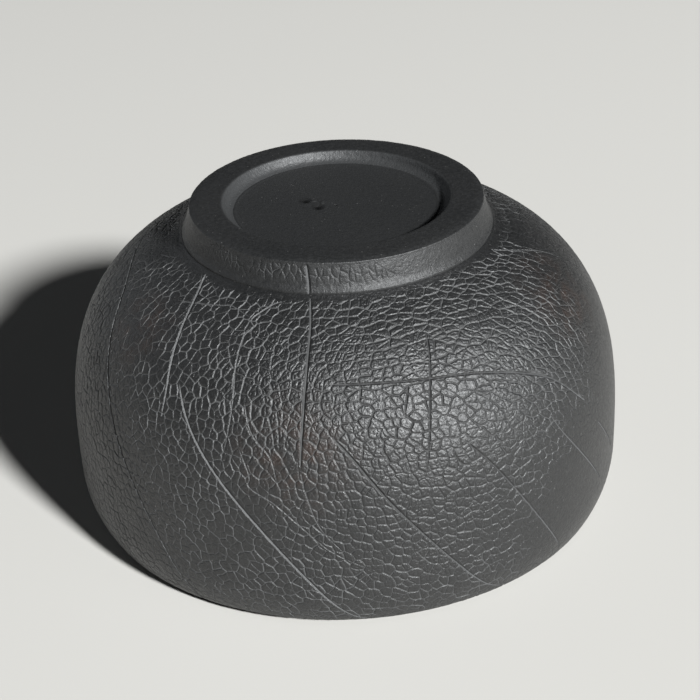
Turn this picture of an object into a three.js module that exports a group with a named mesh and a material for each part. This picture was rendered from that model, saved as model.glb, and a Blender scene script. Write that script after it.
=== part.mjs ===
// A stoneware candle vessel standing mouth down: a thrown bowl, and a foot ring luted to
// its base with clay slip. Millimetres, +Z up. The origin is the centre of the mouth, on
// the plane that the rim rests on.
import * as THREE from 'three';

// Driving dimensions
const BELLY_RADIUS = 50;        // widest part of the outer wall
const BELLY_HEIGHT = 9;         // height of that widest part above the rim plane
const TOTAL_HEIGHT = 56.6;      // rim plane to the resting face of the foot
const RIM_RADIUS = 47.6;        // outer wall at the rim plane, before its edge is rounded
const RIM_EDGE = 1.1;           // radius of both rounded edges of the rim
const WALL = 4.4;               // wall thickness at the belly
const BASE_THICKNESS = 7.2;     // clay between the inside of the bowl and the recess floor

// The outer wall is a superellipse quarter from the belly to the apex of the dome.
const DOME_RISE = 44.5;         // belly to the unseen apex of that quarter
const DOME_POWERS = { radial: 2.93, axial: 3.1 };
const INSIDE_POWERS = { radial: 2.7, axial: 2.8 };
const RIM_CURVE = 2.2;          // how fast the wall turns in between belly and rim
const SHOULDER_RADIUS = 30.5;   // where the dome gives way to a straight slope up to the foot

// Foot ring and the recess inside it
const ROOT_RADIUS = 27.4;       // where the ring meets the bowl
const ROOT_HEIGHT = 51.3;       // height of the bowl there
const FLARE = { radius: 26.7, height: 52.8 };      // where the side begins to flare out
const FOOT_BEVEL = { radius: 25.6, height: 56.35 };  // outer border of the ring's face
const FOOT_EDGE = 0.25;         // radius of the ring's outer edge
const LAND_RADIUS = 24.2;       // outer border of the flat land that the vessel stands on
const RECESS_RADIUS = 20.1;     // mouth of the recess
const FLOOR_RADIUS = 18.4;      // flat floor of the recess
const RECESS_DEPTH = 2.0;
const RECESS_EDGE = 0.5;        // radius of the ring's inner edge
const SLIP_JOINT = 0.3;         // bed of slip between bowl and ring

// Fineness of the facets
const TURN_STEPS = 72;          // a multiple of four, so that the widest points are kept
const OUTSIDE_STEPS = 20;
const INSIDE_STEPS = 14;
const RIM_STEPS = 4;
const EDGE_STEPS = 4;

const FLOOR_HEIGHT = TOTAL_HEIGHT - RECESS_DEPTH;

// Points of a superellipse quarter that starts upright at the belly height and ends level,
// cut off at the given smallest radius.
function quarter(radius, rise, powers, steps, smallestRadius = 0) {
  const endTurn = Math.acos((smallestRadius / radius) ** (powers.radial / 2));
  return Array.from({ length: steps + 1 }, (_, i) => {
    const turn = endTurn * i / steps;
    const across = Math.max(Math.cos(turn), 0) ** (2 / powers.radial);
    const up = Math.sin(turn) ** (2 / powers.axial);
    return new THREE.Vector2(radius * across, BELLY_HEIGHT + rise * up);
  });
}

// Points of a round edge about a centre, from one angle to another in degrees.
function edge(x, y, radius, fromDegrees, toDegrees, steps = EDGE_STEPS) {
  return Array.from({ length: steps + 1 }, (_, i) => {
    const angle = THREE.MathUtils.degToRad(fromDegrees + (toDegrees - fromDegrees) * i / steps);
    return new THREE.Vector2(x + radius * Math.cos(angle), y + radius * Math.sin(angle));
  });
}

// Points of the wall between the rim and the belly, from below the belly down to the height
// where the rim's rounded edge begins.
function wallBelowBelly(bellyRadius, rimRadius) {
  return Array.from({ length: RIM_STEPS }, (_, i) => {
    const height = THREE.MathUtils.lerp(BELLY_HEIGHT, RIM_EDGE, (i + 1) / (RIM_STEPS + 1));
    const drop = (BELLY_HEIGHT - height) / BELLY_HEIGHT;
    const radius = bellyRadius - (bellyRadius - rimRadius) * drop ** RIM_CURVE;
    return new THREE.Vector2(radius, height);
  });
}

// Turns a profile of (radius, height) points, listed anticlockwise, into a body about +Z.
function turned(profile) {
  const geometry = new THREE.LatheGeometry(profile, TURN_STEPS);
  return geometry.rotateX(Math.PI / 2);
}

function stoneware(color) {
  return new THREE.MeshStandardMaterial({ color, roughness: 0.8, metalness: 0 });
}

// The bowl: outside wall with a straight slope up to the foot, rounded rim with a flat land,
// inside wall, and a base that rises in a cone under the ring to the floor of the recess.
function bowlBody() {
  const insideRadius = BELLY_RADIUS - WALL;
  const insideRimRadius = RIM_RADIUS - WALL;
  const ceiling = FLOOR_HEIGHT - BASE_THICKNESS;
  const inside = [
    ...edge(insideRimRadius + RIM_EDGE, RIM_EDGE, RIM_EDGE, 270, 180).slice(0, -1),
    ...wallBelowBelly(insideRadius, insideRimRadius).reverse(),
    ...quarter(insideRadius, ceiling - BELLY_HEIGHT, INSIDE_POWERS, INSIDE_STEPS),
  ];
  const outside = [
    ...quarter(BELLY_RADIUS, DOME_RISE, DOME_POWERS, OUTSIDE_STEPS, SHOULDER_RADIUS).reverse(),
    ...wallBelowBelly(BELLY_RADIUS, RIM_RADIUS),
    ...edge(RIM_RADIUS - RIM_EDGE, RIM_EDGE, RIM_EDGE, 0, -90).slice(1),
  ];
  const base = [
    new THREE.Vector2(0, FLOOR_HEIGHT),
    new THREE.Vector2(FLOOR_RADIUS, FLOOR_HEIGHT),
    new THREE.Vector2(ROOT_RADIUS, ROOT_HEIGHT),
  ];
  const profile = [...base, ...outside, ...inside];
  const mesh = new THREE.Mesh(turned(profile.reverse()), stoneware(0x38383a));
  mesh.name = 'bowl_body';
  return mesh;
}

// The foot ring: its underside follows the cone of the base with a bed of slip between them,
// and its side leans out and then flares to the root.
function footRing() {
  const coneSlope = (FLOOR_HEIGHT - ROOT_HEIGHT) / (ROOT_RADIUS - FLOOR_RADIUS);
  const toeRadius = FLOOR_RADIUS + SLIP_JOINT;
  const coneHeight = (radius) => ROOT_HEIGHT + (ROOT_RADIUS - radius) * coneSlope;
  const profile = [
    new THREE.Vector2(toeRadius, coneHeight(toeRadius) + SLIP_JOINT),
    new THREE.Vector2(ROOT_RADIUS, ROOT_HEIGHT + SLIP_JOINT),
    new THREE.Vector2(FLARE.radius, FLARE.height),
    ...edge(FOOT_BEVEL.radius, FOOT_BEVEL.height - FOOT_EDGE, FOOT_EDGE, 15, 80),
    new THREE.Vector2(LAND_RADIUS, TOTAL_HEIGHT),
    ...edge(RECESS_RADIUS + RECESS_EDGE, TOTAL_HEIGHT - RECESS_EDGE, RECESS_EDGE, 90, 150),
    new THREE.Vector2(toeRadius, coneHeight(toeRadius) + SLIP_JOINT),
  ];
  const mesh = new THREE.Mesh(turned(profile), stoneware(0x3c3c3e));
  mesh.name = 'foot_ring';
  return mesh;
}

const candleVessel = new THREE.Group();
candleVessel.add(bowlBody(), footRing());

export default candleVessel;
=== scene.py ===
import math

import bpy
import numpy as np
from mathutils import Matrix, Vector


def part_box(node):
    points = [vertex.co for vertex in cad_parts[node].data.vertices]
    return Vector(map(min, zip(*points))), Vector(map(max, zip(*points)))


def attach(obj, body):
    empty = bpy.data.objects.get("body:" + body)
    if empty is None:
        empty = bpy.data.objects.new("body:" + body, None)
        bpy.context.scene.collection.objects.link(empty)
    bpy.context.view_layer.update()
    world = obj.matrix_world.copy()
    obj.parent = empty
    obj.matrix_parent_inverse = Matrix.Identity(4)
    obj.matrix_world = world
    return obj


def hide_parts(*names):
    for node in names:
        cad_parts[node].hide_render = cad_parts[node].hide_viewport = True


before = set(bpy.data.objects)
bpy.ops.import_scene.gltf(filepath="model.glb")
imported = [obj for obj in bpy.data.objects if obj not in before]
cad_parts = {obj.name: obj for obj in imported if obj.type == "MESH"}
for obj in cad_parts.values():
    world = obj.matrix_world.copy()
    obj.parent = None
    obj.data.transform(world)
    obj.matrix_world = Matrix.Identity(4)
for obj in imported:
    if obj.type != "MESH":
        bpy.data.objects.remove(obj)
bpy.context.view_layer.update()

MM = 0.001
FULL_TURN = 2 * math.pi

# Sizes in millimetres. The frame gives the outside ones, and the rest repeat the design.
BELLY_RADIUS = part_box("bowl_body")[1].x / MM
FLOOR_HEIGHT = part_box("bowl_body")[1].z / MM
ROOT_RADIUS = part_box("foot_ring")[1].x / MM
TOTAL_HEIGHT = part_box("foot_ring")[1].z / MM
SLIP_JOINT = 0.3                     # between the bowl and the ring
ROOT_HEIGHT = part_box("foot_ring")[0].z / MM - SLIP_JOINT
SHOULDER_RADIUS = 30.5               # where the dome gives way to the slope up to the foot
BELLY_HEIGHT = 9.0
DOME_RISE = 44.5                     # from the belly to the dome's top, if it went on to it
DOME_POWERS = (2.93, 3.1)            # how square the dome's curve is, across and upwards
INSIDE_POWERS = (2.7, 2.8)
RIM_RADIUS = 47.6
RIM_CURVE = 2.2                      # power of the curve from the belly down to the rim
RIM_EDGE = 1.1                       # radius of the rim's rounded edge
WALL = 4.4
CEILING = FLOOR_HEIGHT - 7.2
FLOOR_RADIUS = 18.4
TOE_RADIUS = 17.9                    # where the ring's toe comes out of the floor
FOOT_EDGE = 0.25                     # radius of the ring's outer edge
SKIN = 0.05                          # how far the clay stays inside the design's outline
FACE_DROP = 0.02                     # the same for the foot ring's flat face
FLOOR_DROP = 0.03                    # the same for the floor inside the foot ring

# Fineness of the curves and meshes
FINE_PITCH = 0.125
COARSE_PITCH = 0.8
FLOOR_PITCH = 0.15
COARSENING = 6                       # fine columns to one coarse column
OUTLINE_POINTS = 4000                # on a formula's outline, before it is cut to a pitch
ARC_POINTS = 40
CURVE_SPACING = 0.05                 # between the points of a drawn outline
VEIN_SPACING = 0.35                  # between the points of a vein's path
TINY = 0.0001                        # two points closer than this are one point
FAR = 9.0                            # farther than any groove reaches

rng = np.random.default_rng(71)


# ---------------------------------------------------------------- smooth noise

LATTICE_SIZE = 4096
LATTICE = rng.permutation(LATTICE_SIZE)
LATTICE_VALUES = rng.uniform(-1, 1, LATTICE_SIZE).astype(np.float32)


def lattice_value(ix, iy, iz):
    """The random value at a whole point of space."""
    place = LATTICE[ix % LATTICE_SIZE]
    place = LATTICE[(place + iy) % LATTICE_SIZE]
    place = LATTICE[(place + iz) % LATTICE_SIZE]
    return LATTICE_VALUES[place]


def noise(points, wavelength):
    """Smooth noise between -1 and 1 at points of shape (..., 3), in millimetres. A number
    added to the points gives another noise of the same kind."""
    scaled = points / wavelength
    base = np.floor(scaled).astype(np.int32)
    part = (scaled - base).astype(np.float32)
    part = part * part * (3 - 2 * part)
    total = 0.0
    for corner in np.ndindex(2, 2, 2):
        weight = 1.0
        for axis, side in enumerate(corner):
            weight = weight * (part[..., axis] if side else 1 - part[..., axis])
        total = total + weight * lattice_value(*(base[..., i] + corner[i] for i in range(3)))
    return total


def smoothstep(low, high, x):
    t = np.clip((x - low) / (high - low), 0, 1)
    return t * t * (3 - 2 * t)


def bell(x):
    return np.exp(-x * x)


# ---------------------------------------------------------------- curves and outlines

def spline(points, spacing):
    """A smooth curve through a few points of the plane."""
    points = np.array(points, float)
    ends = 2 * points[[0, -1]] - points[[1, -2]]
    knots = np.concatenate([ends[:1], points, ends[1:]])
    pieces = []
    for p0, p1, p2, p3 in zip(knots, knots[1:], knots[2:], knots[3:]):
        steps = max(2, int(math.dist(p1, p2) / spacing))
        t = np.linspace(0, 1, steps, endpoint=False)[:, None]
        pieces.append(0.5 * (2 * p1 + (p2 - p0) * t + (2 * p0 - 5 * p1 + 4 * p2 - p3) * t ** 2
                             + (3 * p1 - p0 - 3 * p2 + p3) * t ** 3))
    return np.concatenate(pieces + [points[-1:]])


def quarter(radius, rise, powers, smallest_radius=0.0):
    """A superellipse quarter from the belly upwards, as rows of radius and height."""
    end = math.acos((smallest_radius / radius) ** (powers[0] / 2))
    turn = np.linspace(0, end, OUTLINE_POINTS)
    across = np.maximum(np.cos(turn), 0) ** (2 / powers[0])
    up = np.sin(turn) ** (2 / powers[1])
    return np.stack([radius * across, BELLY_HEIGHT + rise * up], axis=1)


def below_belly(belly_radius, rim_radius):
    """The wall from the belly down to where the rim's rounded edge begins."""
    height = np.linspace(BELLY_HEIGHT, RIM_EDGE + SKIN, OUTLINE_POINTS // 10)
    drop = (BELLY_HEIGHT - height) / BELLY_HEIGHT
    return np.stack([belly_radius - (belly_radius - rim_radius) * drop ** RIM_CURVE, height], axis=1)


def arc(x, y, radius, start, end):
    """Part of a circle about (x, y), between two angles in degrees."""
    angle = np.radians(np.linspace(start, end, ARC_POINTS))
    return np.stack([x + radius * np.cos(angle), y + radius * np.sin(angle)], axis=1)


def joined(*stretches):
    """One outline from several stretches, with no point repeated."""
    line = np.concatenate(stretches)
    step = np.hypot(*np.diff(line, axis=0).T)
    return line[np.concatenate([[True], step > TINY])]


def along(line):
    """Distance along an outline at each of its points."""
    return np.concatenate([[0], np.cumsum(np.hypot(*np.diff(line, axis=0).T))])


def even(line, pitch):
    """The outline again, with points about a pitch apart and both ends kept."""
    distance = along(line)
    wanted = np.linspace(0, distance[-1], max(2, round(distance[-1] / pitch)) + 1)
    return np.stack([np.interp(wanted, distance, line[:, i]) for i in (0, 1)], axis=1)


def radius_at(line, pitch, distance):
    """The radius at a distance along an outline whose points are a pitch apart."""
    return np.interp(distance, np.arange(len(line)) * pitch, line[:, 0])


def outer_wall():
    """The bowl's outside, from the foot's root down to the middle of the rim's edge."""
    rim = RIM_RADIUS - SKIN
    return joined(
        [(ROOT_RADIUS - SKIN, ROOT_HEIGHT)],
        quarter(BELLY_RADIUS - SKIN, DOME_RISE, DOME_POWERS, SHOULDER_RADIUS)[::-1],
        below_belly(BELLY_RADIUS - SKIN, rim),
        arc(rim - RIM_EDGE, RIM_EDGE + SKIN, RIM_EDGE, 0, -90),
    )


def inner_wall():
    """The bowl's inside, from the rim up to the middle of the ceiling."""
    inside_rim = RIM_RADIUS - WALL
    return joined(
        arc(inside_rim + RIM_EDGE, RIM_EDGE + SKIN, RIM_EDGE, 270, 180),
        below_belly(BELLY_RADIUS - WALL, inside_rim)[::-1],
        quarter(BELLY_RADIUS - WALL, CEILING - BELLY_HEIGHT, INSIDE_POWERS),
    )


def foot_outline():
    """The ring's open side, from its toe in the floor over its face and down to its root."""
    face = TOTAL_HEIGHT - FACE_DROP
    root = ROOT_RADIUS - SKIN
    recess = [
        (17.6, FLOOR_HEIGHT - 0.14), (18.2, FLOOR_HEIGHT + 0.02), (18.9, FLOOR_HEIGHT + 0.32),
        (19.4, FLOOR_HEIGHT + 0.8), (19.75, face - 0.5), (20.0, face - 0.12), (20.4, face),
    ]
    bevel = [(24.0, face), (24.9, face - 0.07), (25.6, face - 0.23)]
    flare = [
        (25.86, face - 0.6), (26.3, face - 2.18), (26.68, face - 3.63), (26.95, face - 4.33),
        (root, ROOT_HEIGHT + 0.35),
    ]
    return joined(
        spline(recess, CURVE_SPACING),
        spline(bevel, CURVE_SPACING),
        arc(25.6, face - 0.48, FOOT_EDGE, 80, 15),
        spline(flare, CURVE_SPACING),
        [(root, ROOT_HEIGHT - 0.1), (ROOT_RADIUS - 0.5, ROOT_HEIGHT - 0.2)],
    )


# ---------------------------------------------------------------- meshes turned from outlines

class Rings:
    """Gathers rings of points about +Z into one closed mesh."""

    def __init__(self):
        self.points = []
        self.reliefs = []
        self.count = 0
        self.faces = []

    def add(self, points, relief=None):
        """Adds rings, shape (rows, columns, 3), and returns the indices of their points."""
        rows, columns = points.shape[:2]
        indices = self.count + np.arange(rows * columns).reshape(rows, columns)
        self.points.append(points.reshape(-1, 3))
        self.reliefs.append(np.zeros(rows * columns) if relief is None else relief.ravel())
        self.count += rows * columns
        return indices

    def skin(self, rows):
        """Quads between neighbouring rings."""
        a, b = rows[:-1], rows[1:]
        quads = np.stack([a, np.roll(a, -1, 1), np.roll(b, -1, 1), b], axis=-1)
        self.faces.append(quads.reshape(-1, 4))

    def step(self, fine, coarse, fine_first):
        """Faces that join a fine ring to a coarse one, several fine columns to one coarse."""
        ratio = len(fine) // len(coarse)
        start = np.arange(len(coarse)) * ratio
        near = fine[(start[:, None] + np.arange(ratio + 1)) % len(fine)]
        far = np.stack([np.roll(coarse, -1), coarse], axis=1)
        faces = np.concatenate([near, far], axis=1)
        self.faces.append(faces if fine_first else faces[:, ::-1])

    def cap(self, ring, height, ring_first):
        """A fan from a ring to a point on the axis."""
        centre = self.add(np.array([[[0.0, 0.0, height]]]))[0, 0]
        fan = np.stack([ring, np.roll(ring, -1), np.full_like(ring, centre)], axis=1)
        self.faces.append(fan if ring_first else fan[:, ::-1])

    def mesh(self, name):
        """The mesh, with each point's depth of relief in mm as the attribute relief."""
        mesh = bpy.data.meshes.new(name)
        points = np.concatenate(self.points).astype(np.float32) * MM
        sizes = np.concatenate([np.full(len(f), f.shape[1]) for f in self.faces])
        corners = np.concatenate([f.ravel() for f in self.faces])
        mesh.vertices.add(len(points))
        mesh.vertices.foreach_set("co", points.ravel())
        mesh.loops.add(len(corners))
        mesh.loops.foreach_set("vertex_index", corners.astype(np.int32))
        mesh.polygons.add(len(sizes))
        starts = np.concatenate([[0], np.cumsum(sizes)[:-1]])
        mesh.polygons.foreach_set("loop_start", starts.astype(np.int32))
        mesh.polygons.foreach_set("use_smooth", np.ones(len(sizes), bool))
        mesh.update(calc_edges=True)
        layer = mesh.attributes.new("relief", "FLOAT", "POINT")
        layer.data.foreach_set("value", np.concatenate(self.reliefs).astype(np.float32))
        return mesh


def azimuths(columns):
    return np.arange(columns) * FULL_TURN / columns


def revolve(line, columns):
    """Points of a plain turned surface, shape (rows, columns, 3)."""
    angle = azimuths(columns)
    radius, height = line[:, :1], line[:, 1:]
    return np.stack([radius * np.cos(angle), radius * np.sin(angle),
                     height * np.ones(columns)], axis=-1)


def raised(line, columns, offset):
    """A turned surface moved outwards by offset. The clay lies on the outline's right."""
    slope = np.gradient(line, axis=0)
    slope /= np.hypot(*slope.T)[:, None]
    angle = azimuths(columns)
    points = revolve(line, columns)
    points[..., 0] -= offset * slope[:, 1:] * np.cos(angle)
    points[..., 1] -= offset * slope[:, 1:] * np.sin(angle)
    points[..., 2] += offset * slope[:, :1]
    return points


# ---------------------------------------------------------------- the net between the veins

def turned_difference(angle):
    """Angles brought between minus and plus half a turn."""
    return (angle + math.pi) % FULL_TURN - math.pi


def grain_field(azimuth, distance, radius, hints):
    """The net's grain at each place: cosine and sine of its direction, and its stretch."""
    cosine, sine, stretch, total = 0, 0, 0, 0
    for place, down, direction, ratio in hints:
        across = turned_difference(azimuth - math.radians(place)) * radius
        gap = (across ** 2 + (distance - down) ** 2) / GRAIN_REACH ** 2
        weight = 1 / (1 + gap ** 2)
        cosine = cosine + weight * math.cos(2 * math.radians(direction))
        sine = sine + weight * math.sin(2 * math.radians(direction))
        stretch = stretch + weight * ratio
        total = total + weight
    turn = np.arctan2(sine, cosine) / 2
    return np.cos(turn), np.sin(turn), stretch / total


SPARE_ROWS = 3                       # rows of seeds beyond each end of the surface
NEARBY = range(-2, 3)                # rows and columns of seeds looked at round a place


class Net:
    """A Voronoi net drawn on a turned surface. Its meshes keep one size all round, follow
    the hints' grain, and can form larger groups."""

    def __init__(self, line, pitch, cell, group_cell, hints):
        self.line = line
        self.pitch = pitch
        self.cell = cell
        self.hints = hints
        self.azimuth, self.distance, self.counts = self.scatter(cell)
        if group_cell:
            self.group = self.nearest_group(group_cell)
        else:
            self.group = np.arange(self.azimuth.size, dtype=np.int32).reshape(self.azimuth.shape)

    def scatter(self, cell):
        """Seeds in rows about a cell apart, each row with its own number of seeds."""
        length = (len(self.line) - 1) * self.pitch
        rows = int(length / cell) + 2 * SPARE_ROWS + 1
        middle = (np.arange(rows) - SPARE_ROWS + 0.5) * cell
        girth = FULL_TURN * radius_at(self.line, self.pitch, middle)
        counts = np.maximum(8, np.round(girth / cell)).astype(int)
        wander = rng.uniform(-0.5, 0.5, (2, rows, counts.max())) * JITTER
        azimuth = (np.arange(counts.max()) + 0.5 + wander[0]) * FULL_TURN / counts[:, None]
        distance = middle[:, None] + wander[1] * cell
        return azimuth.astype(np.float32), distance.astype(np.float32), counts

    def nearest_group(self, group_cell):
        """The nearest group centre to every seed."""
        azimuth, distance, counts = self.scatter(group_cell)
        used = np.arange(azimuth.shape[1]) < counts[:, None]
        centre_azimuth, centre_distance = azimuth[used], distance[used]
        nearest = np.zeros(self.azimuth.shape, np.int32)
        for row, (place, down) in enumerate(zip(self.azimuth, self.distance)):
            radius = radius_at(self.line, self.pitch, down)[:, None]
            cosine, sine, stretch = grain_field(place[:, None], down[:, None], radius, self.hints)
            x = turned_difference(centre_azimuth - place[:, None]) * radius
            y = centre_distance - down[:, None]
            u = (cosine * x + sine * y) / np.sqrt(stretch)
            v = (cosine * y - sine * x) * np.sqrt(stretch)
            nearest[row] = (u * u + v * v).argmin(axis=1)
        return nearest

    def neighbours(self, azimuth, distance, radius, grain):
        """Each nearby seed's offset from every point, in the net's stretched measure."""
        cosine, sine, root = grain
        row = np.floor(distance / self.cell + SPARE_ROWS).astype(np.int32)
        for down in NEARBY:
            near = np.clip(row + down, 0, len(self.counts) - 1)
            count = self.counts[near]
            column = np.floor(azimuth / FULL_TURN * count).astype(np.int32)
            for across in NEARBY:
                index = (column + across) % count
                x = turned_difference(self.azimuth[near, index] - azimuth) * radius
                y = self.distance[near, index] - distance
                u = (cosine * x + sine * y) / root
                v = (cosine * y - sine * x) * root
                yield u, v, self.group[near, index]

    def borders(self, azimuth, distance, radius):
        """Distances in mm to the nearest border inside a group and between groups."""
        cosine, sine, stretch = grain_field(azimuth, distance, radius, self.hints)
        root = np.sqrt(stretch)
        place = (azimuth, distance, radius, (cosine, sine, root))
        best = np.full(azimuth.shape, np.inf, np.float32)
        best_u, best_v = np.zeros_like(best), np.zeros_like(best)
        own = np.zeros(azimuth.shape, np.int32)
        for u, v, group in self.neighbours(*place):
            size = u * u + v * v
            closer = size < best
            best = np.where(closer, size, best)
            best_u = np.where(closer, u, best_u)
            best_v = np.where(closer, v, best_v)
            own = np.where(closer, group, own)
        inside = np.full(azimuth.shape, FAR, np.float32)
        between = np.full(azimuth.shape, FAR, np.float32)
        for u, v, group in self.neighbours(*place):
            du, dv = u - best_u, v - best_v
            itself = np.hypot(du, dv) < TINY
            spread = np.where(itself, 1, np.hypot(du / root, dv * root))
            gap = ((u + best_u) * du + (v + best_v) * dv) / 2 / spread
            gap = np.where(itself, FAR, gap)
            inside = np.where(group == own, np.minimum(inside, gap), inside)
            between = np.where(group == own, between, np.minimum(between, gap))
        return inside, between


def vee(gap, half_width):
    """The section of a groove: 1 along its middle and 0 from its half width outwards."""
    return np.clip(1 - gap / half_width, 0, 1)


def banked(gap, half_width):
    """The section of a groove between soft cushions of clay that slope away from it."""
    return 0.7 * vee(gap, half_width) + 0.3 * vee(gap, 4 * half_width) ** 2


class Surface:
    """The grid of places on a turned surface that grooves are pressed into."""

    def __init__(self, line, columns):
        self.line = line
        self.columns = columns
        self.pitch = along(line)[1]
        self.length = (len(line) - 1) * self.pitch
        self.points = revolve(line, columns)
        shape = (len(line), columns)
        self.azimuth = np.broadcast_to(azimuths(columns), shape).astype(np.float32)
        rows = np.arange(len(line))[:, None] * self.pitch
        self.distance = np.broadcast_to(rows, shape).astype(np.float32)
        self.radius = np.broadcast_to(line[:, :1], shape).astype(np.float32)
        self.grooves = np.zeros(shape, np.float32)

    def wander(self, slow_shift, quick_shift):
        """How far the grooves of a net stray from straight, in mm, at each place."""
        slow = noise(self.points + slow_shift, 2.2)
        quick = noise(self.points + quick_shift, 0.8)
        return 0.26 * slow + 0.12 * quick

    def press_net(self, cover, cell, group_cell, hints, net_groove, group_groove):
        """Presses a net. A groove is its half width and depth, and cover fades the net."""
        across = self.wander(0, 31) / self.radius
        azimuth = ((self.azimuth + across) % FULL_TURN).astype(np.float32)
        net = Net(self.line, self.pitch, cell, group_cell, hints)
        inside, between = net.borders(azimuth, self.distance + self.wander(57, 13), self.radius)
        depth = np.maximum(net_groove[1] * banked(inside, net_groove[0]),
                           group_groove[1] * banked(between, group_groove[0]))
        self.grooves = np.maximum(self.grooves, cover * depth)

    def press_vein(self, path, half_width, depth):
        """Presses one vein along a path of (azimuth, distance) points. It starts softly and
        thins towards its end."""
        progress = np.linspace(0, 1, len(path))
        swell = np.sin(np.minimum(progress * 14, math.pi / 2)) * (1 - 0.6 * progress ** 5)
        for (azimuth, distance), after, size in zip(path, path[1:], swell):
            width = half_width * (0.5 + 0.5 * size)
            span = int(width / self.pitch) + 3
            row = int(distance / self.pitch)
            low, high = max(0, row - span), min(len(self.line), row + span + 2)
            if high <= low:
                continue
            radius = self.line[low:high, 0].mean()
            spacing = FULL_TURN * radius / self.columns
            side = int(width / spacing) + 4
            column = int(azimuth / FULL_TURN * self.columns)
            picked = np.arange(column - side, column + side + 1)
            across = picked * spacing - azimuth * radius
            down = np.arange(low, high)[:, None] * self.pitch - distance
            run, fall = (after[0] - azimuth) * radius, after[1] - distance
            t = np.clip((across * run + down * fall) / (run ** 2 + fall ** 2 + 1e-9), 0, 1)
            groove = depth * size * vee(np.hypot(across - t * run, down - t * fall), width)
            block = np.ix_(np.arange(low, high), picked % self.columns)
            self.grooves[block] = np.maximum(self.grooves[block], groove)


# ---------------------------------------------------------------- the leaf in the bowl's wall

# A vein is a curve through places on the wall, (azimuth in degrees, distance
# down the wall from the foot's root in mm), then its half width and its depth in mm.
# Azimuth -90 faces the camera.
FRONT_VEINS = [
    ([(-143, 0.5), (-136.5, 7.5), (-131, 20), (-130, 26)], 0.29, 0.36),
    ([(-100, 0.5), (-98.5, 7), (-98.5, 19), (-99, 29.5)], 0.31, 0.38),
    ([(-128.5, 19), (-121, 28), (-107, 41.5), (-92, 57.5), (-87, 60.5)], 0.28, 0.32),
    ([(-195, 9), (-168, 12), (-154, 21), (-141, 35.5), (-132.5, 46), (-122, 60.5)],
     0.28, 0.30),
    ([(-94, 24), (-89, 28.5), (-81, 38), (-65, 55.5), (-58, 60.5)], 0.25, 0.24),
    ([(-68, 9.5), (-69.5, 14), (-72, 20.5), (-75, 32)], 0.22, 0.24),
    ([(-76, 17.5), (-78, 22.5)], 0.20, 0.18),
    ([(-94, 16.5), (-78, 17), (-61, 18.5), (-48, 22), (-43, 24)], 0.24, 0.28),
    ([(-52, 20.5), (-42, 25), (-33.5, 32.5)], 0.28, 0.34),
    ([(-67, 28), (-60.5, 35), (-50.5, 48), (-43, 58)], 0.24, 0.22),
    ([(-46, 29.5), (-41, 36.5), (-27.5, 51)], 0.22, 0.22),
    ([(-29, 38.5), (-18, 49.5)], 0.20, 0.18),
    ([(-26, 1), (-12, 8.5), (-5, 15.5)], 0.16, 0.12),
    ([(-106.5, 1.5), (-111.5, 2.5), (-116, 6), (-114.5, 7.5), (-116, 9.5), (-115.5, 14),
      (-114, 20), (-114, 26), (-115, 31)], 0.17, 0.18),
    ([(-111.5, 20), (-109, 25), (-105, 28.5), (-103.5, 32.5), (-102.5, 34)], 0.16, 0.16),
    ([(-112, 26.5), (-109, 32), (-109, 34), (-104, 36.5), (-99.5, 40), (-93.5, 45),
      (-86, 49)], 0.17, 0.15),
    ([(-99, 30), (-98, 34.5), (-95.5, 40.5), (-91, 45.5)], 0.17, 0.15),
    ([(-143, 7.5), (-128, 5), (-124, 4.5), (-116, 6)], 0.20, 0.17),
]
BACK_VEINS = 16
BACK_AZIMUTHS = (8, 158)
GROWTH_STEP = 0.4                    # mm that a grown vein moves on at a time

# Places where the leaf left little or no net: azimuth, distance down, and reach both ways.
BARE_PATCHES = [
    (-30, 50, 24, 15),
    (-6, 34, 22, 30),
    (-176, 3, 10, 5),
    (84, 55, 22, 10),
]

# The net's grain at places given as (azimuth, distance down): its direction in degrees from
# level towards the rim, and how much longer than wide its meshes are.
WALL_GRAIN = [
    (-150, 14, 98, 1.2),
    (-124, 12, 112, 1.15),
    (-104, 18, 92, 1.2),
    (-127, 34, 62, 1.15),
    (-108, 28, 88, 1.4),
    (-114, 46, 48, 1.3),
    (-98, 46, 36, 1.3),
    (-87, 10, -18, 1.5),
    (-76, 24, 20, 1.1),
    (-66, 4, -6, 1.9),
    (-50, 12, 12, 1.8),
    (-32, 16, 60, 1.9),
    (-60, 40, 50, 1.2),
    (20, 25, 70, 1.4),
    (60, 12, 10, 1.4),
    (80, 40, 50, 1.4),
    (120, 20, 110, 1.4),
    (150, 40, 80, 1.4),
]
GRAIN_REACH = 12.0                   # how far one of those places makes itself felt
JITTER = 0.80                        # how far a mesh's seed may wander, in cells

# Widths of the net's meshes, of groups of them and of the finest ones inside them, then
# the half width and depth of the grooves between them
CELL, GROUP_CELL, FINE_CELL = 1.6, 3.6, 0.8
NET_GROOVE = (0.14, 0.13)
GROUP_GROOVE = (0.16, 0.18)
FINE_GROOVE = (0.13, 0.055)


def grown_path(surface, growth):
    """A gently curving vein that runs down the back of the wall from a random place."""
    azimuth = math.radians(growth.uniform(*BACK_AZIMUTHS))
    distance = growth.uniform(0.5, 22)
    heading = math.radians(90 + growth.choice([1, -1]) * growth.uniform(15, 60))
    bend = math.radians(growth.uniform(-1.2, 1.2))
    reach = growth.uniform(22, 55)
    path = []
    while reach > 0 and 0.3 < distance < surface.length - 1.5:
        path.append((azimuth, distance))
        radius = radius_at(surface.line, surface.pitch, distance)
        azimuth += GROWTH_STEP * math.cos(heading) / radius
        distance += GROWTH_STEP * math.sin(heading)
        heading += GROWTH_STEP * bend
        reach -= GROWTH_STEP
    return path


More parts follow.
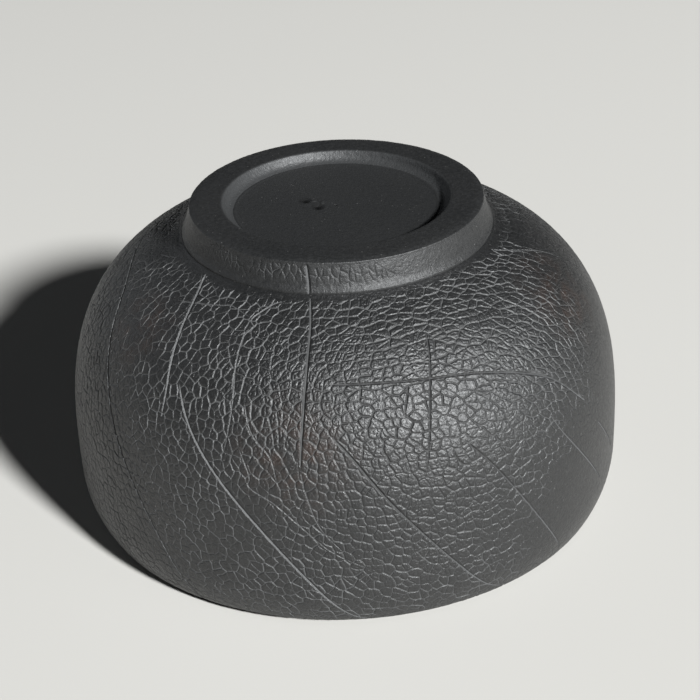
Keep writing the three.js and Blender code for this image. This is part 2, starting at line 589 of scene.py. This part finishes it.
def wall_path(places):
    """A curve through places given in degrees and mm, as (radians, mm) points."""
    scale = math.radians(1) * BELLY_RADIUS
    path = spline([(azimuth * scale, distance) for azimuth, distance in places], VEIN_SPACING)
    return path / [BELLY_RADIUS, 1]


def leaf_cover(surface):
    """How strongly the leaf's net shows on the wall, from 0 to 1."""
    cover = np.ones_like(surface.azimuth)
    for place, down, angle_reach, down_reach in BARE_PATCHES:
        across = turned_difference(surface.azimuth - math.radians(place))
        beside = bell(across / math.radians(angle_reach))
        cover *= 1 - beside * bell((surface.distance - down) / down_reach)
    # The net fades out raggedly near the foot's root and near the rim.
    ragged = surface.distance + 0.8 * noise(surface.points, 3.5)
    above_rim = surface.length - ragged
    cover *= smoothstep(0.7, 2.2, ragged) * smoothstep(1, 4, above_rim)
    return cover * (0.88 + 0.12 * noise(surface.points + 40, 8.0))


def press_leaf(surface):
    """Presses the leaf's net and then its veins into the wall."""
    cover = leaf_cover(surface)
    faint = 0.88 + 0.32 * noise(surface.points + 71, 2.4)
    surface.press_net(cover * faint, CELL, GROUP_CELL, WALL_GRAIN, NET_GROOVE, GROUP_GROOVE)
    patchy = 0.6 + 0.4 * smoothstep(-0.4, 0.5, noise(surface.points + 19, 3.0))
    surface.press_net((0.3 + 0.7 * cover) * patchy, FINE_CELL, None, WALL_GRAIN, FINE_GROOVE,
                      FINE_GROOVE)
    for places, half_width, depth in FRONT_VEINS:
        surface.press_vein(wall_path(places), half_width, depth)
    growth = np.random.default_rng(5)
    for _ in range(BACK_VEINS):
        half_width = growth.uniform(0.16, 0.38)
        surface.press_vein(grown_path(surface, growth), half_width, half_width)


# ---------------------------------------------------------------- the leaf over the foot's side

FOOT_GRAIN = [(-120, 9, 80, 1.8), (60, 9, 98, 1.8)]
FOOT_CELL = 1.4
FOOT_GROOVE = (0.14, 0.11)
SIDE_LENGTH = 5.3                    # from the ring's outer edge down to its root
FOOT_LEAVES = [(-124, 26), (-92, 9), (-72, 7), (55, 30), (135, 20)]   # azimuth, half width
MIDRIB = [(-101.8, -0.3), (-101.2, 1.6), (-100.6, 4.4)]               # azimuth, below the edge
MIDRIB_GROOVE = (0.34, 0.30)


def press_foot(surface):
    """Presses what lapped over the foot's side: patches of net under its edge and a midrib."""
    edge = surface.length - SIDE_LENGTH
    below = surface.distance - edge + 0.7 * noise(surface.points, 2.0)
    cover = smoothstep(-0.5, 0.3, below) * smoothstep(3.6, 1.6, below)
    leaves = 0
    for place, half_width in FOOT_LEAVES:
        across = turned_difference(surface.azimuth - math.radians(place))
        leaves = leaves + bell(across / math.radians(half_width))
    cover *= np.clip(leaves, 0, 1) * smoothstep(-0.8, 0.2, noise(surface.points + 5, 2.5))
    surface.press_net(cover, FOOT_CELL, None, FOOT_GRAIN, FOOT_GROOVE, FOOT_GROOVE)
    midrib = [(azimuth, edge + below_edge) for azimuth, below_edge in MIDRIB]
    surface.press_vein(wall_path(midrib), *MIDRIB_GROOVE)


# ---------------------------------------------------------------- the two pieces of clay

CRUMPLE = 0.018                      # height of the clay's fine unevenness


def clay_offset(surface, wobble, wavelength):
    """How far the clay stands off its outline: inwards for the grooves and for the slow
    wobble of clay thrown by hand, and either way, within SKIN, for fine unevenness."""
    slow = wobble * (0.5 + 0.5 * noise(surface.points, wavelength))
    crumple = CRUMPLE * noise(surface.points + 7, 0.9) + CRUMPLE * noise(surface.points + 3, 0.45)
    return -slow - surface.grooves + crumple


# The two pits and the burrs that the turning tool left near the middle of the floor:
# place in mm, radius along X, radius along Y, and height.
TURNING_MARKS = [
    (-5.4, 2.4, 0.7, 0.8, -0.25),
    (-3.2, -0.5, 0.7, 1.0, -0.25),
    (-4.0, 2.1, 0.6, 0.3, 0.15),
    (-2.5, 1.4, 0.3, 0.6, 0.15),
]


def turning_marks(points):
    """How far the marks rise or sink the floor at each point."""
    height = 0
    for x, y, wide, long, rise in TURNING_MARKS:
        gap = ((points[..., 0] - x) / wide) ** 2 + ((points[..., 1] - y) / long) ** 2
        height = height + rise * bell(gap)
    return height


def bowl_floor(columns):
    """The floor inside the foot ring, with a slight ridge where it meets the ring's toe."""
    line = even(np.array([(FLOOR_RADIUS, FLOOR_HEIGHT), (0, FLOOR_HEIGHT)]), FLOOR_PITCH)[:-1]
    ridge = 0.08 * bell((line[:, :1] - TOE_RADIUS) / 0.3)
    points = revolve(line, columns)
    points[..., 2] += turning_marks(points) + 0.02 * noise(points, 1.1) - FLOOR_DROP + ridge
    return points


def make_bowl():
    """The bowl: grooved outside, plain inside in coarser columns, and the floor."""
    columns = round(FULL_TURN * BELLY_RADIUS / FINE_PITCH / COARSENING) * COARSENING
    coarse_columns = columns // COARSENING
    surface = Surface(even(outer_wall(), FINE_PITCH), columns)
    press_leaf(surface)
    offset = clay_offset(surface, wobble=0.12, wavelength=38)
    offset *= smoothstep(0, 0.8, surface.distance)
    rings = Rings()

    outside = rings.add(raised(surface.line, columns, offset), surface.grooves)
    rings.skin(outside[::-1])
    inside = rings.add(revolve(even(inner_wall(), COARSE_PITCH)[:-1], coarse_columns))
    rings.step(outside[-1], inside[0], fine_first=False)
    rings.skin(inside[::-1])
    rings.cap(inside[-1], CEILING, ring_first=False)

    floor = rings.add(bowl_floor(coarse_columns))
    rings.step(outside[0], floor[0], fine_first=True)
    rings.skin(floor[::-1])
    rings.cap(floor[-1], FLOOR_HEIGHT - FLOOR_DROP, ring_first=True)
    return rings.mesh("bowl_body_clay")


def make_foot():
    """The foot ring: its open side, closed underneath by a plain cone."""
    columns = round(FULL_TURN * ROOT_RADIUS / FINE_PITCH)
    surface = Surface(even(foot_outline(), FINE_PITCH), columns)
    press_foot(surface)
    offset = clay_offset(surface, wobble=0.05, wavelength=24)
    rings = Rings()
    outside = rings.add(raised(surface.line, columns, offset), surface.grooves)
    rings.skin(outside[::-1])
    rings.skin(np.stack([outside[0], outside[-1]]))
    return rings.mesh("foot_ring_clay")


# ---------------------------------------------------------------- materials

class Graph:
    """A short way to write a material's nodes."""

    def __init__(self, name):
        self.material = bpy.data.materials.new(name)
        self.material.use_nodes = True
        self.tree = self.material.node_tree
        self.shader = self.tree.nodes["Principled BSDF"]
        self.place = self.node("ShaderNodeTexCoord").outputs["Object"]

    def node(self, kind, settings=None, **inputs):
        """A new node with its settings, and its inputs by name with _ for a space."""
        node = self.tree.nodes.new(kind)
        for name, value in (settings or {}).items():
            setattr(node, name, value)
        for name, value in inputs.items():
            self.feed(node.inputs[name.replace("_", " ")], value)
        return node

    def feed(self, socket, value):
        """Links an output to a socket, or sets the socket to a plain value."""
        if isinstance(value, bpy.types.NodeSocket):
            self.tree.links.new(value, socket)
        else:
            socket.default_value = value

    def noise(self, wavelength, detail=3.0, roughness=0.5, offset=(0, 0, 0)):
        """Noise from 0 to 1 with a wavelength in millimetres, moved by an offset in metres."""
        moved = self.node("ShaderNodeVectorMath", Vector=self.place)
        moved.inputs[1].default_value = offset
        return self.node(
            "ShaderNodeTexNoise", Vector=moved.outputs[0], Scale=1 / (wavelength * MM),
            Detail=detail, Roughness=roughness,
        ).outputs["Fac"]

    def grains(self, spacing, radius):
        """Round spots of a radius, one to each cell of a spacing, as 1 on a spot."""
        cells = self.node("ShaderNodeTexVoronoi", Vector=self.place, Scale=1 / (spacing * MM))
        return self.ramp(cells.outputs["Distance"], 0.6 * radius / spacing, radius / spacing, 1, 0)

    def near(self, point, radius):
        """1 at a point, falling to 0 at a radius from it, in millimetres."""
        gap = self.node("ShaderNodeVectorMath", {"operation": "DISTANCE"}, Vector=self.place)
        gap.inputs[1].default_value = [value * MM for value in point]
        return self.ramp(gap.outputs["Value"], 0.2 * radius * MM, radius * MM, 1, 0)

    def inside(self, radius):
        """1 within a radius about Z in millimetres, and 0 from a little outside it."""
        flat = self.node("ShaderNodeVectorMath", {"operation": "MULTIPLY"}, Vector=self.place)
        flat.inputs[1].default_value = (1, 1, 0)
        reach = self.node("ShaderNodeVectorMath", {"operation": "LENGTH"}, Vector=flat.outputs[0])
        return self.ramp(reach.outputs["Value"], radius * MM, (radius + 0.4) * MM, 1, 0)

    def ramp(self, value, low, high, out_low=0.0, out_high=1.0):
        """out_low where a value is low, out_high where it is high, and a slope between."""
        node = self.node("ShaderNodeMapRange", {"clamp": True})
        for socket, number in zip(node.inputs[1:5], (low, high, out_low, out_high)):
            socket.default_value = number
        self.feed(node.inputs[0], value)
        return node.outputs[0]

    def math(self, operation, a, b):
        node = self.node("ShaderNodeMath", {"operation": operation})
        self.feed(node.inputs[0], a)
        self.feed(node.inputs[1], b)
        return node.outputs[0]

    def mix(self, factor, a, b):
        node = self.node("ShaderNodeMix", {"data_type": "RGBA"})
        self.feed(node.inputs[0], factor)
        self.feed(node.inputs[6], a)
        self.feed(node.inputs[7], b)
        return node.outputs[2]

    def bump(self, height, distance, normal=None):
        node = self.node("ShaderNodeBump", Height=height, Distance=distance, Strength=1.0)
        if normal:
            self.feed(node.inputs["Normal"], normal)
        return node.outputs[0]


# Reddish-brown stains from iron in the clay: place and radius in mm
STAINS = [
    ((-8, -46, 33), 12),
    ((38, -16, 44), 11),
    ((-34, -22, 44), 9),
    ((20, 40, 40), 14),
]
PAINTED_GROOVE_SHADE = ((13, -45, 32), 36)         # where the grooves are painted darker, as painted shade where the highlight falls: place and radius
DUST_AND_LIGHT_DEPTHS = (0.045, 0.11)                # depths in mm at which the grooves' pale dust and painted light begin and are full
# Radius in mm about Z within which the clay is painted paler, as painted light in the foot's recess
RECESS_RADIUS = 19.9
# Reach in mm of the painted shade, near black, round each pit in the floor
PIT_SHADE_RADIUS = 1.4
GROOVE_BUMP, GRAIN_BUMP = 0.7, 0.12  # heights of the bump on the grooves and of the grain


def shade(level, warmth=0.0):
    """A near grey, redder for a warmth above 0 and bluer below it."""
    return (level * (1 + warmth), level, level * (1 - warmth), 1)


def clay_colour(g, dust_and_painted_light, tone, recess_painted_light):
    """Uneven tone, iron stains, a recess painted paler as painted light, grooves painted pale (dust
    and painted light) and darker as painted shade near the highlight, pits painted black as painted
    shade, and pale grains.
    """
    patches = g.ramp(g.noise(16, 2), 0.35, 0.68)
    colour = g.mix(patches, shade(tone * 0.85, -0.03), shade(tone * 1.15, -0.01))
    for place, radius in STAINS:
        speckled = g.ramp(g.noise(3, 3), 0.4, 0.65, 0.1, 0.9)
        stain = g.math("MULTIPLY", g.near(place, radius), speckled)
        colour = g.mix(stain, colour, (tone * 2.6, tone * 1.5, tone * 1.1, 1))
    mottle = g.ramp(g.noise(0.7, 4, 0.7), 0.4, 0.7, 0, 0.7)
    colour = g.mix(mottle, colour, shade(tone * 1.9, -0.01))
    # Painted light: the recess is painted paler, standing in for light on its walls and floor.
    recess = g.math("MULTIPLY", g.inside(RECESS_RADIUS), recess_painted_light)
    colour = g.mix(recess, colour, shade(0.04, -0.02))
    # Grooves are painted pale, partly as dust and partly as painted light on their walls, and darker
    # as painted shade where the highlight falls.
    dust_and_light_colour = g.mix(g.near(*PAINTED_GROOVE_SHADE), shade(0.075, -0.01), shade(0.024, 0.01))
    colour = g.mix(g.math("MULTIPLY", dust_and_painted_light, 0.9), colour, dust_and_light_colour)
    # Painted shade: the pits are painted near black, standing in for the shadow inside them.
    for x, y, *_, rise in TURNING_MARKS:
        if rise < 0:
            painted_pit_shade = g.near((x, y, FLOOR_HEIGHT), PIT_SHADE_RADIUS)
            colour = g.mix(painted_pit_shade, colour, shade(0.001))
    chosen = g.ramp(g.noise(2.1, 1, offset=(0.7, 0.2, 0.5)), 0.50, 0.60)
    grains = g.math("MULTIPLY", g.grains(1.0, 0.11), chosen)
    return g.mix(g.math("MULTIPLY", grains, 0.8), colour, shade(0.16, 0.03))


def clay_material(name, tone, gloss, roughness, recess_painted_light):
    """Dark unglazed stoneware. Dust lies in the grooves and makes them rougher, and they are painted
    paler, as dust and as painted light on their walls.
    """
    g = Graph(name)
    relief = g.node("ShaderNodeAttribute", {"attribute_name": "relief"}).outputs["Fac"]
    dust_and_painted_light = g.ramp(relief, *DUST_AND_LIGHT_DEPTHS)
    g.feed(g.shader.inputs["Base Color"], clay_colour(g, dust_and_painted_light, tone, recess_painted_light))

    rough = g.ramp(g.noise(0.5, 3), 0.3, 0.7, roughness - 0.07, roughness + 0.07)
    g.feed(g.shader.inputs["Roughness"], g.math("ADD", rough, g.math("MULTIPLY", dust_and_painted_light, 0.3)))
    g.shader.inputs["Specular IOR Level"].default_value = gloss

    grooved = g.bump(g.math("MULTIPLY", relief, -1.0), GROOVE_BUMP * MM)
    grained = g.bump(g.noise(0.38, 3, 0.7), GRAIN_BUMP * MM, grooved)
    g.feed(g.shader.inputs["Normal"], grained)
    return g.material


def floor_material():
    g = Graph("pale_floor")
    g.shader.inputs["Base Color"].default_value = (0.51, 0.497, 0.47, 1)
    g.shader.inputs["Roughness"].default_value = 0.9
    return g.material


# ---------------------------------------------------------------- pieces of the object

def show(mesh, material, node):
    """Puts a mesh in the scene as the visual of one of the part's nodes."""
    piece = bpy.data.objects.new(mesh.name, mesh)
    bpy.context.scene.collection.objects.link(piece)
    mesh.materials.append(material)
    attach(piece, "root")
    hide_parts(node)


# Each clay's last figure sets how much paler its recess is painted, as painted light.
body_clay = clay_material("body_clay", tone=0.0098, gloss=0.66, roughness=0.41, recess_painted_light=0.3)
foot_clay = clay_material("foot_clay", tone=0.0145, gloss=0.48, roughness=0.48, recess_painted_light=0.8)
show(make_bowl(), body_clay, "bowl_body")
show(make_foot(), foot_clay, "foot_ring")


# ---------------------------------------------------------------- stage, light and camera

FLOOR_REACH = 4.0                    # metres
FLOOR_GAP = 0.00001                  # metres between the rim and the floor


def make_floor():
    """A plain pale floor that reaches some metres from the vessel each way."""
    far = FLOOR_REACH
    corners = [(-far, -far, 0), (far, -far, 0), (far, far, 0), (-far, far, 0)]
    mesh = bpy.data.meshes.new("floor")
    mesh.from_pydata(corners, [], [(0, 1, 2, 3)])
    mesh.materials.append(floor_material())
    floor = bpy.data.objects.new("floor", mesh)
    floor.location.z = -FLOOR_GAP
    bpy.context.scene.collection.objects.link(floor)


def add_area_light(name, azimuth, elevation, distance, size, power, colour=(1, 1, 1)):
    """An area light aimed at the vessel. Azimuth is from +X towards +Y, in degrees."""
    middle = Vector((0, 0, TOTAL_HEIGHT / 2 * MM))
    turn, rise = math.radians(azimuth), math.radians(elevation)
    way = Vector((math.cos(turn) * math.cos(rise), math.sin(turn) * math.cos(rise), math.sin(rise)))
    light = bpy.data.lights.new(name, "AREA")
    light.shape = "DISK"
    light.size = size
    light.energy = power
    light.color = colour
    lamp = bpy.data.objects.new(name, light)
    lamp.location = middle + way * distance
    lamp.rotation_mode = "QUATERNION"
    lamp.rotation_quaternion = way.to_track_quat("Z", "Y")
    bpy.context.scene.collection.objects.link(lamp)


def add_world(light, backdrop):
    """A world that lights the vessel faintly and is seen by the camera as a pale backdrop."""
    world = bpy.data.worlds.new("studio")
    world.use_nodes = True
    tree = world.node_tree
    unseen = tree.nodes["Background"]
    unseen.inputs["Color"].default_value = (*light, 1)
    seen = tree.nodes.new("ShaderNodeBackground")
    seen.inputs["Color"].default_value = (*backdrop, 1)
    mix = tree.nodes.new("ShaderNodeMixShader")
    ray = tree.nodes.new("ShaderNodeLightPath")
    tree.links.new(ray.outputs["Is Camera Ray"], mix.inputs["Fac"])
    tree.links.new(unseen.outputs[0], mix.inputs[1])
    tree.links.new(seen.outputs[0], mix.inputs[2])
    tree.links.new(mix.outputs[0], tree.nodes["World Output"].inputs["Surface"])
    bpy.context.scene.world = world


CAMERA_ELEVATION = 29.8
CAMERA_DISTANCE = 0.3047
CAMERA_ROLL = 2.6
CAMERA_LENS = 85.0
CAMERA_AIM = (0.0012, 0.0, 0.0252)


def add_camera():
    """A camera in front of the vessel, looking down at it."""
    rise = math.radians(CAMERA_ELEVATION)
    forward = Vector((0, math.cos(rise), -math.sin(rise)))
    data = bpy.data.cameras.new("camera")
    data.lens = CAMERA_LENS
    data.sensor_width = 36
    data.clip_start = 0.01
    camera = bpy.data.objects.new("camera", data)
    turn = forward.to_track_quat("-Z", "Y").to_matrix()
    roll = Matrix.Rotation(math.radians(-CAMERA_ROLL), 3, "Z")
    camera.matrix_world = (turn @ roll).to_4x4()
    camera.location = Vector(CAMERA_AIM) - forward * CAMERA_DISTANCE
    bpy.context.scene.collection.objects.link(camera)
    bpy.context.scene.camera = camera


make_floor()
add_area_light("key", -52, 32, distance=5.0, size=0.6, power=660, colour=(0.97, 0.99, 1.0))
add_area_light("back", 150, 12, distance=2.0, size=2.2, power=6, colour=(0.9, 0.95, 1.0))
add_world(light=(0.004, 0.0044, 0.005), backdrop=(0.62, 0.61, 0.58))
add_camera()
bpy.context.scene.view_settings.view_transform = "Standard"
